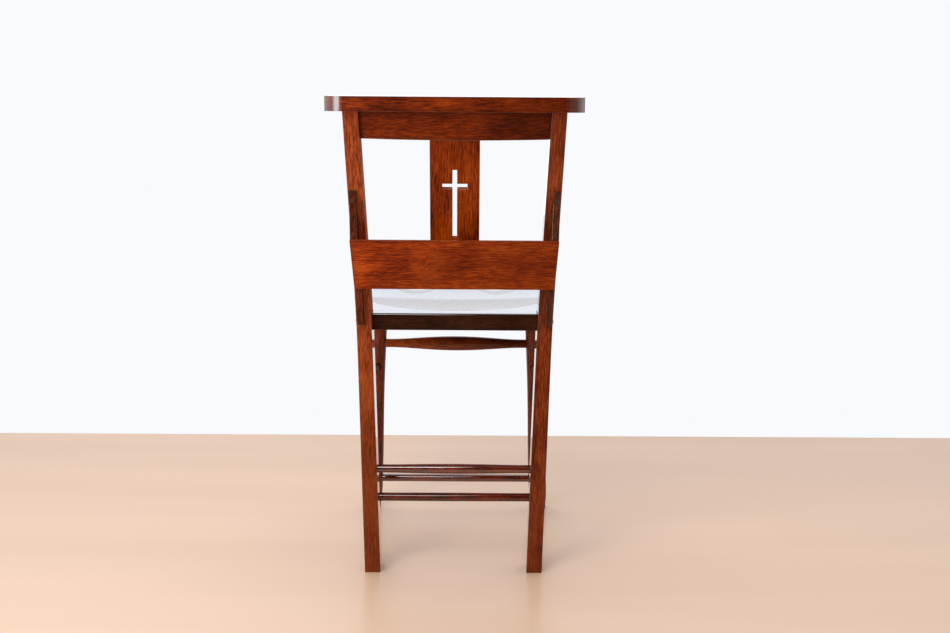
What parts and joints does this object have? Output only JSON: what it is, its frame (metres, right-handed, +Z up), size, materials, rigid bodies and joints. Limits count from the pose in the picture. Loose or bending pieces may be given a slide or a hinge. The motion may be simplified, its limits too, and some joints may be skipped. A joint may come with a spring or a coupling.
{
  "type": "choir chair",
  "caption": "Wooden choir chair with a saddled seat, raked back with a cross cut through its splat, a ledge on top, and a slanting book pocket behind.",
  "frame": {"origin": "on the floor, under the middle of the chair's bounding box", "axes": "the sitter faces -Y, +X is the sitter's left, +Z is up"},
  "size_m": [0.42, 0.4874, 0.83],
  "materials": {
    "stained_wood": "glossy red-brown stain",
    "dark_stained_wood": "glossy dark red-brown stain",
    "bright_steel": "bright zinc plate"
  },
  "bodies": {
    "root": {"ledge": "stained_wood", "crest_rail": "stained_wood", "splat": "stained_wood", "lower_back_rail": "stained_wood", "left_post": "stained_wood", "right_post": "stained_wood", "seat": "dark_stained_wood", "left_front_leg": "stained_wood", "right_front_leg": "stained_wood", "front_upper_stretcher": "stained_wood", "front_lower_stretcher": "dark_stained_wood", "rear_upper_stretcher": "dark_stained_wood", "rear_lower_stretcher": "dark_stained_wood", "left_upper_side_stretcher": "stained_wood", "right_upper_side_stretcher": "stained_wood", "left_lower_side_stretcher": "dark_stained_wood", "right_lower_side_stretcher": "dark_stained_wood", "left_pocket_side": "stained_wood", "right_pocket_side": "stained_wood", "pocket_panel": "stained_wood", "pocket_floor": "dark_stained_wood", "seat_bolts": "bright_steel", "barrel_nuts": "bright_steel", "pocket_screws": "bright_steel", "panel_pins": "bright_steel"}
  },
  "joints": []
}
